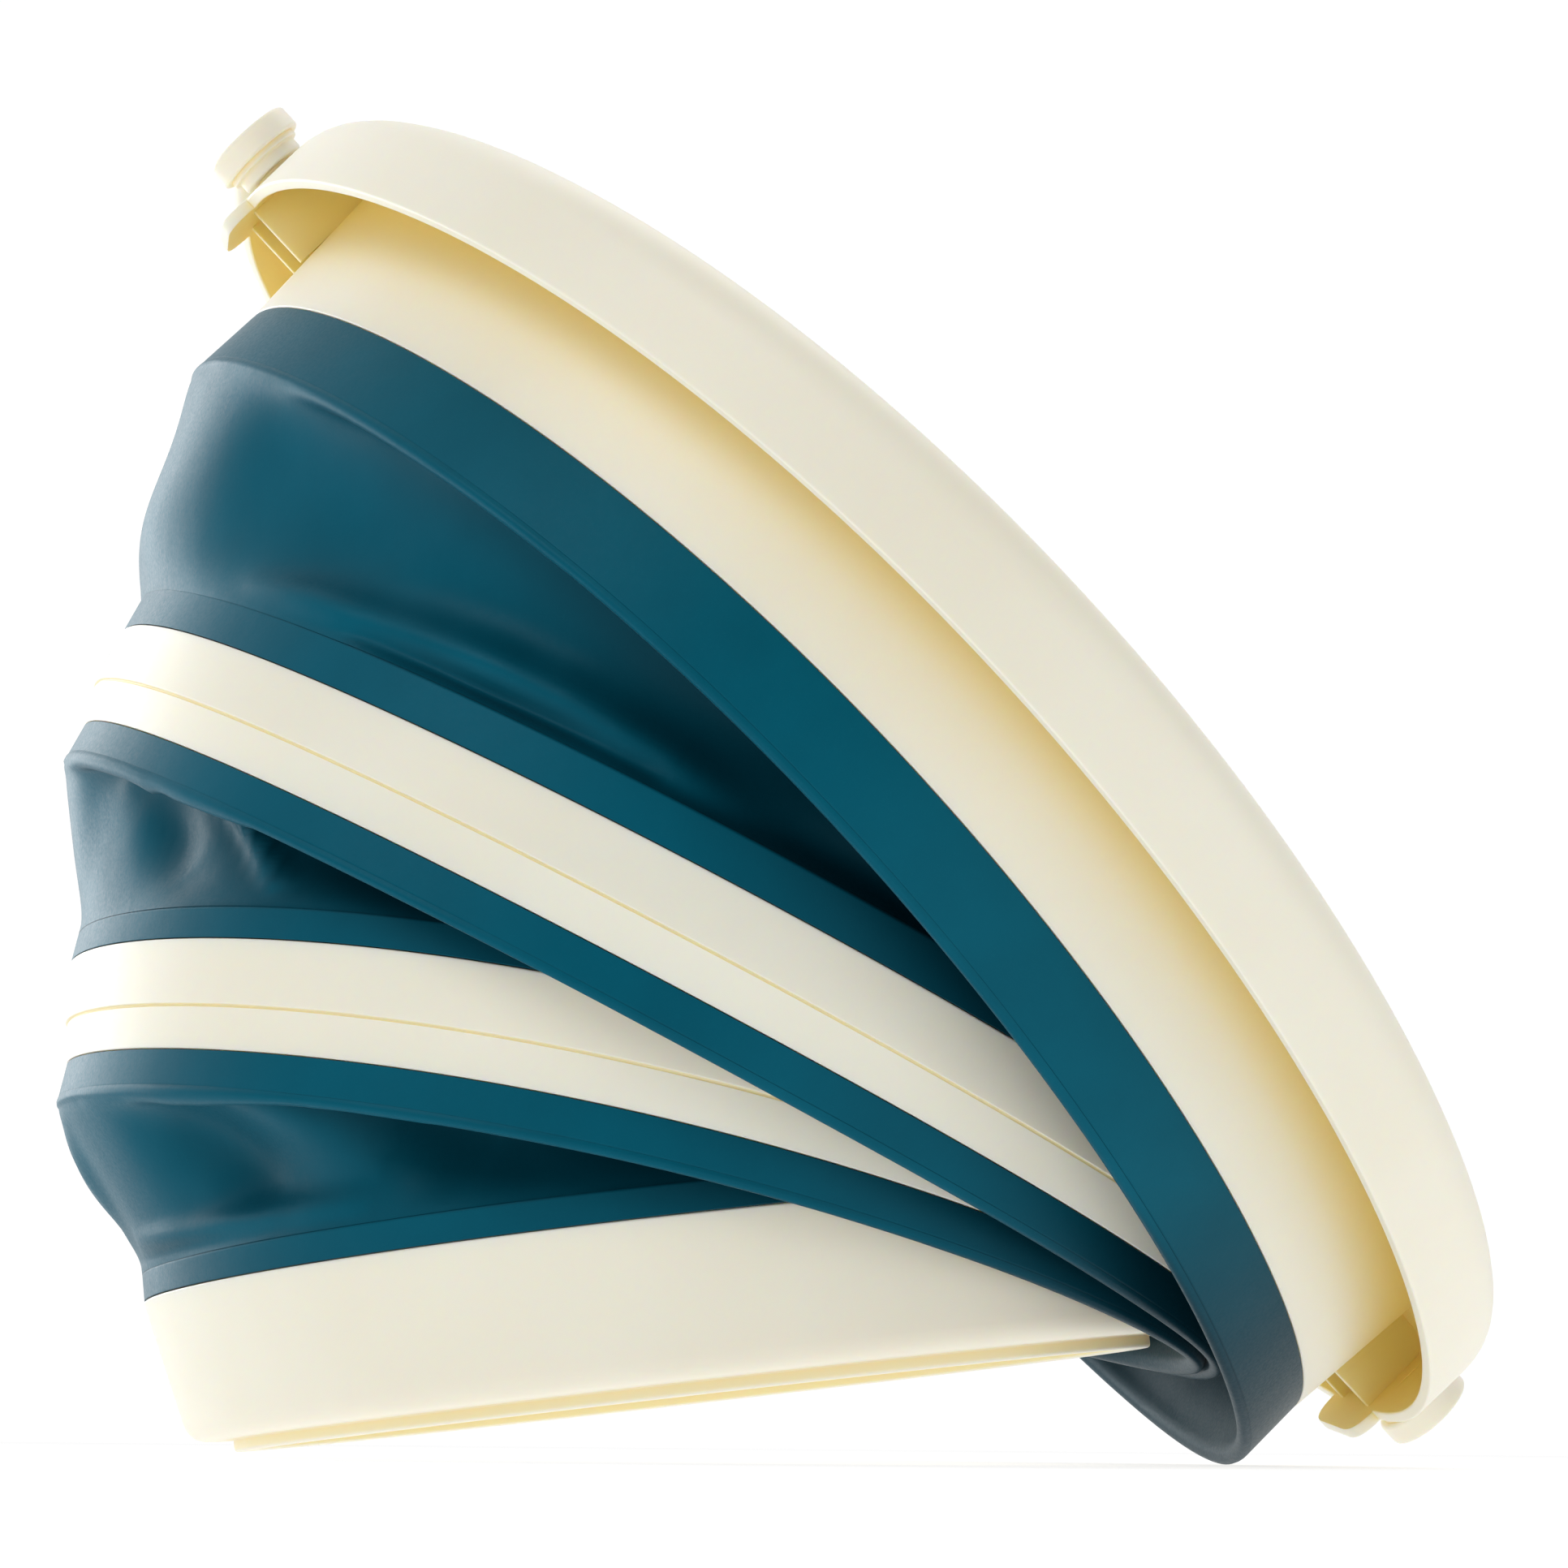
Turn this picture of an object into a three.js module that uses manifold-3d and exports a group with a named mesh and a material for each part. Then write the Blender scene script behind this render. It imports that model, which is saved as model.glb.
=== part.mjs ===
// Collapsible round bucket, caught half folded: one side stands open like a fan, the other is nested.
// Millimetres. Z is up, X points to the folded side, Y is along the hinge lines of the folds.
import * as THREE from 'three';
import Module from 'manifold-3d';

const wasm = await Module();
wasm.setup();

// ---- driving dimensions ------------------------------------------------------------------------
const REST_LEAN_DEG = 7;
const WALL = 2.2;
const COLLAR_THICKNESS = 1.5;
const COLLAR_PROUD = 0.25;
const WEB_THICKNESS = 0.6;
const PART_GAP = 0.3;
const RING_SEGMENTS = 60;
const WEB_SEGMENTS = 58;
const WEB_STEPS = 15;
const FINE_STEPS = 60;

const FOOT_RADIUS = 84.6;
const FOOT_WIDTH = 4.1;
const FOOT_HEIGHT = 2.6;
const BASE_TOP_RADIUS = 98.5;
const BASE_HEIGHT = 28.5;
const BASE_FLOOR_TOP = 5;
// The base pan's outside corner, from the foot up to the straight wall, as [radius, height].
const BASE_CORNER_OUTSIDE = [[87.6, FOOT_HEIGHT], [91.1, 4.7], [93.5, 8.2], [94.7, 12.4]];
const BASE_CORNER_INSIDE = [[92.4, 12.4], [90.9, 8.8], [88.2, 6.1]];
const FOOT_STEP = 0.4;

// Each ring: centre of its named edge, lean towards the folded side, and how far it is flexed at
// flexRadius: the ends on the X axis move along the ring's axis by flex, the Y ends by minus flex.
const BASE = { x: 0, z: 0, lean: 0, flex: 0, flexRadius: 100 };
const LOWER = { x: 0.6, z: 57.5, lean: 19.3, flex: -3.7, flexRadius: 112 };
const UPPER = { x: 9.2, z: 80.7, lean: 34.1, flex: 1.8, flexRadius: 123 };
const RIM = { x: 26.3, z: 99.5, lean: 52.1, flex: -4.8, flexRadius: 140 };

// Outside radii at the top edge, at the fine step and at the bottom edge of the two middle rings.
const LOWER_RING = { top: 112.4, step: 110.1, bottom: 108.4, stepDrop: 10.7, height: 18 };
const UPPER_RING = { top: 123.6, step: 123.0, bottom: 121.2, stepDrop: 10.7, height: 18.2 };
const STEP_RELIEF = 0.25;

const RIM_BOTTOM_RADIUS = 140.4;
const RIM_WALL_TOP_RADIUS = 143.2;
const RIM_HEIGHT = 34.5;
const SKIRT_EDGE_HEIGHT = 15;
const SKIRT_EDGE_RADIUS = 157;

// The handle's pivot line is turned this far round the rim from the folding direction.
const LUG_TURN_DEG = 10;
const LUG_WIDTH = 25;
const LUG_BOTTOM = 3.6;
const LUG_TOP = 26;
const LUG_CORNER = 7;
const RIB_SPACING = 15;
const RIB_THICKNESS = 1.6;
const RIB_BOTTOM = 10;
const RIB_TOP = 26;
const ROUND_PIN_FACES = 32;

const BAIL_PIVOT_HEIGHT = 19.6;
const BAIL_DROOP_DEG = 3;
const BAIL_INNER_RADIUS = 162.8;
const BAIL_OUTER_RADIUS = 166.2;
const BAIL_WIDTH = 9;
const PAD_RADIUS = 9;
const PAD_INNER_FACE = 162.2;
const PAD_OUTER_FACE = 166.8;
const BOSS_RADIUS = 6.6;
const BOSS_INNER_FACE = 158.8;
const STUD_RADIUS = 4;
const STUD_INNER_FACE = 153.4;
const STUD_HOLE_RADIUS = 4.4;

// Gaiters: length of the sheet between its collars on the open and on the folded side, and the
// height of each collar.
const LOWER_GAITER = { open: 32, folded: 47, bottomCollar: 5.2, topCollar: 6 };
const MIDDLE_GAITER = { open: 32, folded: 39, bottomCollar: 5.6, topCollar: 6.4 };
const UPPER_GAITER = { open: 40, folded: 52, bottomCollar: 7.6, topCollar: 13.6 };
const LEAST_FULLNESS = 1.01;
const HAIRPIN = 4;
const STRAIGHT_HANDLE = 0.12;
const LEAST_HANDLE = 9;
const NESTED_SPLAY = 0.8;
const TIP_INSET = 2.6;
// The sheet is also kept clear of the next collar, this far past a ring's other edge.
const PAST_EDGE = 7;

// ---- materials ---------------------------------------------------------------------------------
function creamPlastic() {
  return new THREE.MeshStandardMaterial({ color: 0xf1ead2, roughness: 0.45, metalness: 0 });
}

function tealElastomer() {
  return new THREE.MeshStandardMaterial({ color: 0x0f566b, roughness: 0.62, metalness: 0 });
}

// ---- placing things in a ring's own frame ------------------------------------------------------
function flexAt(ring, radius, angle) {
  return ring.flex * (radius / ring.flexRadius) ** 2 * Math.cos(2 * angle);
}

function ringPoint(ring, radius, height, angle) {
  const lean = THREE.MathUtils.degToRad(ring.lean);
  const along = radius * Math.cos(angle);
  const across = radius * Math.sin(angle);
  const lift = height + flexAt(ring, radius, angle);
  return new THREE.Vector3(
    ring.x + along * Math.cos(lean) + lift * Math.sin(lean),
    across,
    ring.z - along * Math.sin(lean) + lift * Math.cos(lean),
  );
}

function ringAxis(ring) {
  const lean = THREE.MathUtils.degToRad(ring.lean);
  return new THREE.Vector3(Math.sin(lean), 0, Math.cos(lean));
}

function inRingFrame(ring, point) {
  const lean = THREE.MathUtils.degToRad(ring.lean);
  const dx = point.x - ring.x;
  const dz = point.z - ring.z;
  const along = dx * Math.cos(lean) - dz * Math.sin(lean);
  const lift = dx * Math.sin(lean) + dz * Math.cos(lean);
  const angle = Math.atan2(point.y, along);
  const radius = Math.hypot(along, point.y);
  return { radius, height: lift - flexAt(ring, radius, angle), angle };
}

// A flat part made in the ring's frame, without the flex.
function ringMatrix(ring) {
  const lean = THREE.MathUtils.degToRad(ring.lean);
  return new THREE.Matrix4().makeRotationY(lean).setPosition(ring.x, 0, ring.z);
}

// ---- geometry helpers --------------------------------------------------------------------------
function indexedGeometry(positions, triangles) {
  const geometry = new THREE.BufferGeometry();
  geometry.setAttribute('position', new THREE.Float32BufferAttribute(positions, 3));
  geometry.setIndex(triangles);
  return geometry;
}

// Joins rows of points into a closed tube: each row is a closed loop, and the last row meets the first.
function closedTube(rows) {
  const rowLength = rows[0].length;
  const positions = rows.flat().flatMap((point) => [point.x, point.y, point.z]);
  const triangles = [];
  rows.forEach((row, i) => {
    const next = (i + 1) % rows.length;
    row.forEach((point, j) => {
      const after = (j + 1) % rowLength;
      const a = i * rowLength + j;
      const b = next * rowLength + j;
      const c = next * rowLength + after;
      const d = i * rowLength + after;
      triangles.push(a, b, c, a, c, d);
    });
  });
  return indexedGeometry(positions, triangles);
}

// Turns a closed [radius, height] loop, listed counter-clockwise, about a ring's axis.
function revolve(ring, loop, segments = RING_SEGMENTS) {
  const rows = [];
  for (let i = 0; i < segments; i += 1) {
    const angle = (2 * Math.PI * i) / segments;
    rows.push(loop.map(([radius, height]) => ringPoint(ring, radius, height, angle)));
  }
  return closedTube(rows);
}

function toManifold(geometry) {
  const bare = geometry.index ? geometry : geometry.clone();
  const position = bare.getAttribute('position');
  const index = bare.index ? bare.index.array : [...Array(position.count).keys()];
  const mesh = new wasm.Mesh({
    numProp: 3,
    vertProperties: Float32Array.from(position.array),
    triVerts: Uint32Array.from(index),
  });
  mesh.merge();
  return new wasm.Manifold(mesh);
}

function fromManifold(solid) {
  const mesh = solid.getMesh();
  return indexedGeometry(Array.from(mesh.vertProperties), Array.from(mesh.triVerts));
}

function namedMesh(name, geometry, material) {
  const mesh = new THREE.Mesh(geometry, material);
  mesh.name = name;
  return mesh;
}

function cylinderAlongX(radius, fromX, toX, height) {
  const length = Math.abs(toX - fromX);
  const cylinder = new THREE.CylinderGeometry(radius, radius, length, ROUND_PIN_FACES);
  cylinder.rotateZ(Math.PI / 2);
  cylinder.translate((fromX + toX) / 2, 0, height);
  return toManifold(cylinder);
}

// ---- base pan ----------------------------------------------------------------------------------
function basePan() {
  const footInner = FOOT_RADIUS - FOOT_WIDTH;
  const profile = [
    [0, FOOT_HEIGHT],
    [footInner, FOOT_HEIGHT],
    [footInner, 0],
    [FOOT_RADIUS, 0],
    [FOOT_RADIUS, FOOT_HEIGHT - FOOT_STEP],
    ...BASE_CORNER_OUTSIDE,
    [BASE_TOP_RADIUS, BASE_HEIGHT],
    [BASE_TOP_RADIUS - WALL, BASE_HEIGHT],
    ...BASE_CORNER_INSIDE,
    [FOOT_RADIUS, BASE_FLOOR_TOP],
    [0, BASE_FLOOR_TOP],
  ];
  const points = profile.map(([radius, height]) => new THREE.Vector2(radius, height));
  const geometry = new THREE.LatheGeometry(points, RING_SEGMENTS);
  geometry.rotateX(Math.PI / 2);
  return namedMesh('base_pan', fromManifold(toManifold(geometry)), creamPlastic());
}

// ---- the two middle rings ----------------------------------------------------------------------
function middleRing(name, ring, size) {
  const loop = [
    [size.bottom - WALL, -size.height],
    [size.bottom, -size.height],
    [size.step - STEP_RELIEF / 2, -size.stepDrop - STEP_RELIEF],
    [size.step + STEP_RELIEF, -size.stepDrop],
    [size.top, 0],
    [size.top - WALL, 0],
    [size.step - WALL, -size.stepDrop],
  ];
  return namedMesh(name, revolve(ring, loop), creamPlastic());
}

// ---- rim with its rolled lip, skirt and two handle lugs -----------------------------------------
function rimBand() {
  const lipUnderside = RIM_HEIGHT - WALL;
  const skirtInner = SKIRT_EDGE_RADIUS - WALL;
  const wallRoot = [
    [RIM_BOTTOM_RADIUS - WALL, 0],
    [RIM_BOTTOM_RADIUS, 0],
    [RIM_WALL_TOP_RADIUS - 0.3, 27],
  ];
  const recess = [
    [RIM_WALL_TOP_RADIUS + 0.6, lipUnderside - 1.4],
    [RIM_WALL_TOP_RADIUS + 2.4, lipUnderside],
    [150.4, lipUnderside - 0.2],
    [153.6, 30.2],
    [155, 27.2],
  ];
  const skirtEdge = [
    [skirtInner, SKIRT_EDGE_HEIGHT],
    [SKIRT_EDGE_RADIUS, SKIRT_EDGE_HEIGHT],
  ];
  const rolledLip = [
    [157.5, 26.4],
    [156.8, 29.6],
    [154.6, 32.4],
    [151.4, 34],
    [147.6, RIM_HEIGHT],
    [143.6, RIM_HEIGHT],
    [141.8, 33.4],
    [141, 31],
    [140.7, 27],
  ];
  const loop = [...wallRoot, ...recess, ...skirtEdge, ...rolledLip];
  return toManifold(revolve(RIM, loop, RING_SEGMENTS + 12));
}

// A flat tongue in the skirt, square to the pivot line, that carries the pivot hole.
function lugTongue(side) {
  const half = LUG_WIDTH / 2;
  const outline = new THREE.Shape();
  outline.moveTo(-half, LUG_TOP);
  outline.lineTo(-half, LUG_BOTTOM + LUG_CORNER);
  outline.quadraticCurveTo(-half, LUG_BOTTOM, -half + LUG_CORNER, LUG_BOTTOM);
  outline.lineTo(half - LUG_CORNER, LUG_BOTTOM);
  outline.quadraticCurveTo(half, LUG_BOTTOM, half, LUG_BOTTOM + LUG_CORNER);
  outline.lineTo(half, LUG_TOP);
  outline.closePath();
  const plate = new THREE.ExtrudeGeometry(outline, { depth: WALL, bevelEnabled: false, curveSegments: 6 });
  plate.rotateX(Math.PI / 2);
  plate.rotateZ(Math.PI / 2);
  const inner = SKIRT_EDGE_RADIUS - WALL - 0.3;
  plate.translate(side > 0 ? inner : -inner - WALL, 0, 0);
  return toManifold(plate);
}

function lugRib(side, offset) {
  const from = RIM_WALL_TOP_RADIUS - 1.6;
  const to = SKIRT_EDGE_RADIUS - 1;
  const rib = new THREE.BoxGeometry(to - from, RIB_THICKNESS, RIB_TOP - RIB_BOTTOM);
  rib.translate((side * (from + to)) / 2, offset, (RIB_TOP + RIB_BOTTOM) / 2);
  return toManifold(rib);
}

function lug(side) {
  const ribs = [-1, 1].map((end) => lugRib(side, (end * RIB_SPACING) / 2));
  const hole = cylinderAlongX(STUD_HOLE_RADIUS, side * (STUD_INNER_FACE - 1), side * (SKIRT_EDGE_RADIUS + 1),
    BAIL_PIVOT_HEIGHT);
  return { solid: ribs.reduce((sum, rib) => sum.add(rib), lugTongue(side)), hole };
}

// Carries a solid made along the X axis to the rim's pivot line.
function atPivotLine(solid) {
  const turn = new THREE.Matrix4().makeRotationZ(THREE.MathUtils.degToRad(LUG_TURN_DEG));
  const matrix = ringMatrix(RIM).multiply(turn);
  return solid.transform(Array.from(matrix.elements));
}

function rim() {
  const lugs = [-1, 1].map((side) => lug(side));
  const bodies = lugs.reduce((sum, item) => sum.add(atPivotLine(item.solid)), rimBand());
  const drilled = lugs.reduce((sum, item) => sum.subtract(atPivotLine(item.hole)), bodies);
  return namedMesh('rim', fromManifold(drilled), creamPlastic());
}

// ---- bail handle -------------------------------------------------------------------------------
function bailStrap() {
  const round = 1.1;
  const half = BAIL_WIDTH / 2;
  const loop = [
    [BAIL_INNER_RADIUS, -half + round],
    [BAIL_INNER_RADIUS + round, -half],
    [BAIL_OUTER_RADIUS - round, -half],
    [BAIL_OUTER_RADIUS, -half + round],
    [BAIL_OUTER_RADIUS, half - round],
    [BAIL_OUTER_RADIUS - round, half],
    [BAIL_INNER_RADIUS + round, half],
    [BAIL_INNER_RADIUS, half - round],
  ];
  const hoop = toManifold(revolve(BASE, loop, RING_SEGMENTS));
  const reach = BAIL_OUTER_RADIUS + 10;
  const rearHalf = new THREE.BoxGeometry(2 * reach, reach, BAIL_WIDTH * 2);
  rearHalf.translate(0, reach / 2, 0);
  return hoop.intersect(toManifold(rearHalf)).rotate([-BAIL_DROOP_DEG, 0, 0]);
}

function bailEnd(side) {
  const pad = cylinderAlongX(PAD_RADIUS, side * PAD_INNER_FACE, side * PAD_OUTER_FACE, 0);
  const boss = cylinderAlongX(BOSS_RADIUS, side * BOSS_INNER_FACE, side * (PAD_INNER_FACE + 1), 0);
  const stud = cylinderAlongX(STUD_RADIUS, side * STUD_INNER_FACE, side * (BOSS_INNER_FACE + 1), 0);
  return pad.add(boss).add(stud);
}

function bailHandle() {
  const whole = bailStrap().add(bailEnd(-1)).add(bailEnd(1)).translate([0, 0, BAIL_PIVOT_HEIGHT]);
  return namedMesh('bail_handle', fromManifold(atPivotLine(whole)), creamPlastic());
}

// ---- gaiters -----------------------------------------------------------------------------------
// A collar is the thick edge of a gaiter that is bonded to a ring.
function collar(name, ring, radius, from, to, sheetAbove) {
  const inner = radius - COLLAR_THICKNESS / 2;
  const outer = radius + COLLAR_THICKNESS / 2 + COLLAR_PROUD;
  const chamfer = 0.7;
  const tip = sheetAbove ? to : from;
  const root = sheetAbove ? from : to;
  const back = sheetAbove ? -chamfer : chamfer;
  const outline = [
    [inner, root],
    [outer, root],
    [outer, tip + back],
    [outer - chamfer, tip],
    [inner + chamfer, tip],
    [inner, tip + back],
  ];
  const loop = sheetAbove ? outline : outline.reverse();
  return namedMesh(name, revolve(ring, loop), tealElastomer());
}

// Where a strand of the sheet passes a ring and its collar, it keeps this distance from the middle of
// the ring's wall. The wall is taken as a straight line, from its far edge to inside its collar's tip.
const STRAND_SLACK = 0.6;
const STRAND_DISTANCE = WALL / 2 + WEB_THICKNESS / 2 + PART_GAP + STRAND_SLACK;

function clearOfWall(wall, point, sideSign) {
  const local = inRingFrame(wall.ring, point);
  const far = new THREE.Vector2(wall.farRadius - WALL / 2, wall.farHeight);
  const tip = new THREE.Vector2(wall.sheetRadius, wall.tipHeight);
  const here = new THREE.Vector2(local.radius, local.height);
  const along = tip.clone().sub(far);
  const share = THREE.MathUtils.clamp(here.clone().sub(far).dot(along) / along.lengthSq(), 0, 1);
  const nearest = far.clone().addScaledVector(along, share);
  const away = here.clone().sub(nearest);
  const beside = share < 1;
  const onWrongSide = beside && share > 0 && sideSign * away.x < 0;
  if (away.length() > STRAND_DISTANCE && !onWrongSide) {
    return null;
  }
  const outward = beside ? new THREE.Vector2(sideSign, 0) : away.normalize();
  const target = nearest.addScaledVector(outward, STRAND_DISTANCE);
  return ringPoint(wall.ring, target.x, target.y, local.angle);
}

// Moves a point of the sheet clear of the ring inside it and the ring outside it.
function pushClear(point, inside, outside) {
  const targets = [clearOfWall(inside, point, 1), clearOfWall(outside, point, -1)].filter((target) => target);
  if (targets.length === 0) {
    return point;
  }
  return targets.reduce((sum, target) => sum.add(target), new THREE.Vector3()).divideScalar(targets.length);
}

function bezierRow(start, end, startDirection, endDirection, startHandle, endHandle) {
  const first = start.clone().addScaledVector(startDirection, startHandle);
  const last = end.clone().addScaledVector(endDirection, -endHandle);
  return new THREE.CubicBezierCurve3(start, first, last, end).getPoints(FINE_STEPS);
}

function rowLength(points) {
  return points.slice(1).reduce((sum, point, i) => sum + point.distanceTo(points[i]), 0);
}

// Picks points along a row by length, closer together near its ends, where it turns most sharply.
function resample(points) {
  const reach = [0];
  points.slice(1).forEach((point, i) => reach.push(reach[i] + point.distanceTo(points[i])));
  const total = reach[reach.length - 1];
  return Array.from({ length: WEB_STEPS + 1 }, (_, step) => {
    const wanted = (total * (1 - Math.cos((Math.PI * step) / WEB_STEPS))) / 2;
    const after = Math.max(1, reach.findIndex((value) => value >= wanted - 1e-9));
    const share = (wanted - reach[after - 1]) / (reach[after] - reach[after - 1]);
    return points[after - 1].clone().lerp(points[after], share);
  });
}

// The sheet keeps its length. Where there is slack it rises inside the upper ring, turns, comes down
// and turns again in a tight hairpin under the upper collar.
function sheetRow(start, end, startAxis, endAxis, length) {
  const chord = start.distanceTo(end);
  const nested = THREE.MathUtils.smoothstep(start.clone().sub(end).dot(startAxis), 0, 16);
  const outward = new THREE.Vector3(start.x, start.y, 0).normalize().multiplyScalar(nested * NESTED_SPLAY);
  const startDirection = startAxis.clone().add(outward);
  const endDirection = endAxis.clone().add(outward);
  const target = Math.max(length, chord * LEAST_FULLNESS);
  const slack = THREE.MathUtils.smoothstep(target / chord, 1.1, 1.8);
  const endHandle = THREE.MathUtils.lerp(chord * STRAIGHT_HANDLE, HAIRPIN, slack);
  let short = Math.max(chord * STRAIGHT_HANDLE, nested * LEAST_HANDLE);
  let long = length * 3;
  for (let i = 0; i < 30; i += 1) {
    const handle = (short + long) / 2;
    const row = bezierRow(start, end, startDirection, endDirection, handle, endHandle);
    if (rowLength(row) > target) {
      long = handle;
    } else {
      short = handle;
    }
  }
  return bezierRow(start, end, startDirection, endDirection, short, endHandle);
}

// Gives a sheet of points, one row for each angle, its thickness.
function thicken(sheet) {
  const rows = sheet.map((row, i) => {
    const before = sheet[(i + sheet.length - 1) % sheet.length];
    const after = sheet[(i + 1) % sheet.length];
    const normals = row.map((point, j) => {
      const along = row[Math.min(j + 1, row.length - 1)].clone().sub(row[Math.max(j - 1, 0)]);
      const around = after[j].clone().sub(before[j]);
      return around.cross(along).normalize().multiplyScalar(WEB_THICKNESS / 2);
    });
    const outer = row.map((point, j) => point.clone().add(normals[j]));
    const inner = row.map((point, j) => point.clone().sub(normals[j]));
    return [...outer, ...inner.reverse()];
  });
  return closedTube(rows);
}

function gaiterSheet(name, inside, outside, size) {
  const sheet = [];
  for (let i = 0; i < WEB_SEGMENTS; i += 1) {
    const angle = (2 * Math.PI * i) / WEB_SEGMENTS;
    const start = ringPoint(inside.ring, inside.sheetRadius, inside.sheetHeight, angle);
    const end = ringPoint(outside.ring, outside.sheetRadius, outside.sheetHeight, angle);
    const length = THREE.MathUtils.lerp(size.open, size.folded, (1 + Math.cos(angle)) / 2);
    const row = sheetRow(start, end, ringAxis(inside.ring), ringAxis(outside.ring), length);
    const last = row.length - 1;
    const cleared = row.map((point, j) => (j === 0 || j === last ? point : pushClear(point, inside, outside)));
    sheet.push(resample(cleared));
  }
  return namedMesh(name, thicken(sheet), tealElastomer());
}

// ---- wall descriptions the gaiters need --------------------------------------------------------
// The ring that a gaiter stands on: the sheet starts at the top of its collar and passes outside it.
function standsOn(edge, collarHeight) {
  const sheetHeight = edge.height + collarHeight + 3 * PART_GAP;
  return { ...edge, sheetHeight, tipHeight: sheetHeight - TIP_INSET, sheetRadius: edge.radius - WALL / 2 };
}

// The ring that a gaiter hangs from: the sheet ends at the foot of its collar and passes inside it.
function hangsFrom(edge, collarHeight) {
  const sheetHeight = edge.height - collarHeight - 3 * PART_GAP;
  return { ...edge, sheetHeight, tipHeight: sheetHeight + TIP_INSET, sheetRadius: edge.radius - WALL / 2 };
}

function gaiter(name, size, lowerEdge, upperEdge) {
  const bottomFrom = lowerEdge.height + PART_GAP;
  const topTo = upperEdge.height - PART_GAP;
  const bottomRadius = lowerEdge.radius - WALL / 2;
  const topRadius = upperEdge.radius - WALL / 2;
  const inside = standsOn(lowerEdge, size.bottomCollar);
  const outside = hangsFrom(upperEdge, size.topCollar);
  return [
    collar(`${name}_bottom_collar`, lowerEdge.ring, bottomRadius, bottomFrom, bottomFrom + size.bottomCollar, true),
    collar(`${name}_top_collar`, upperEdge.ring, topRadius, topTo - size.topCollar, topTo, false),
    gaiterSheet(`${name}_sheet`, inside, outside, size),
  ];
}

function ringTopEdge(ring, size) {
  return { ring, height: 0, radius: size.top, farHeight: -size.height - PAST_EDGE, farRadius: size.bottom };
}

function ringBottomEdge(ring, size) {
  return { ring, height: -size.height, radius: size.bottom, farHeight: PAST_EDGE, farRadius: size.top };
}

function gaiters() {
  const baseEdge = { ring: BASE, height: BASE_HEIGHT, radius: BASE_TOP_RADIUS, farHeight: 5, farRadius: 94 };
  const rimEdge = { ring: RIM, height: 0, radius: RIM_BOTTOM_RADIUS, farHeight: 27, farRadius: RIM_WALL_TOP_RADIUS };
  return [
    ...gaiter('lower_gaiter', LOWER_GAITER, baseEdge, ringBottomEdge(LOWER, LOWER_RING)),
    ...gaiter('middle_gaiter', MIDDLE_GAITER, ringTopEdge(LOWER, LOWER_RING), ringBottomEdge(UPPER, UPPER_RING)),
    ...gaiter('upper_gaiter', UPPER_GAITER, ringTopEdge(UPPER, UPPER_RING), rimEdge),
  ];
}

// ---- whole bucket ------------------------------------------------------------------------------
// The half folded bucket stands on one edge of its foot and on the folded side, so its base leans.
function leanOnTable(mesh) {
  const lean = THREE.MathUtils.degToRad(-REST_LEAN_DEG);
  const matrix = new THREE.Matrix4().makeRotationY(lean);
  const footEdge = new THREE.Vector3(-FOOT_RADIUS, 0, 0).applyMatrix4(matrix);
  matrix.setPosition(0, 0, -footEdge.z);
  mesh.geometry.applyMatrix4(matrix);
  return mesh;
}

// Puts the origin on the table, under the middle of the whole bucket.
function centreOnTable(parts) {
  const box = new THREE.Box3();
  parts.forEach((mesh) => box.expandByObject(mesh));
  const middle = box.getCenter(new THREE.Vector3());
  parts.forEach((mesh) => {
    mesh.geometry.translate(-middle.x, -middle.y, -box.min.z);
    mesh.geometry.computeVertexNormals();
  });
}

function bucket() {
  const group = new THREE.Group();
  group.name = 'collapsible_bucket';
  const parts = [
    basePan(),
    middleRing('lower_ring', LOWER, LOWER_RING),
    middleRing('upper_ring', UPPER, UPPER_RING),
    rim(),
    ...gaiters(),
    bailHandle(),
  ];
  parts.forEach((mesh) => group.add(leanOnTable(mesh)));
  centreOnTable(parts);
  return group;
}

export default bucket();
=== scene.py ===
"""Collapsible bucket, half folded: cream plastic rings, teal elastomer gaiters and a bail handle.

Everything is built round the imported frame, in metres. The bucket's own numbers are in millimetres in its
base frame (Z up the base pan's axis, X towards the folded side) and go through to_row() at the end.
"""
import math

import bmesh
import bpy
import numpy as np
from mathutils import Matrix, Vector

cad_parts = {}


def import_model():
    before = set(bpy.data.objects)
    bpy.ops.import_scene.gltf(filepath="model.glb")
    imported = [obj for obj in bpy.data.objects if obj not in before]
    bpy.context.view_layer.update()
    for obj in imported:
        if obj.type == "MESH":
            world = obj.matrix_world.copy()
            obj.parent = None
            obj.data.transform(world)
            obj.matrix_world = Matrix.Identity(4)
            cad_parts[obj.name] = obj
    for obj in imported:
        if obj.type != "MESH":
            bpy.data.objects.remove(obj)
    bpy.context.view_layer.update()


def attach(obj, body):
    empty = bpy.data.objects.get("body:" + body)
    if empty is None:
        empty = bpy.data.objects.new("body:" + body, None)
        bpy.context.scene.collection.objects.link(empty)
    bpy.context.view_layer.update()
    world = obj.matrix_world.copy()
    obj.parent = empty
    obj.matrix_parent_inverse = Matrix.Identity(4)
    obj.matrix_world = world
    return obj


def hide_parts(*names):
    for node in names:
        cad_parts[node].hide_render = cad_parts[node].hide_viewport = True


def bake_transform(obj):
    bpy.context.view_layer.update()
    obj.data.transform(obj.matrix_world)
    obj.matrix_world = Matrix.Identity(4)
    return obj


# ---- the bucket's dimensions, in millimetres and degrees ------------------------------------------
REST_LEAN = math.radians(7)
FOOT_RADIUS = 84.6
ORIGIN_SHIFT = np.array([-15.6406, -4.28, 0.48])

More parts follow.
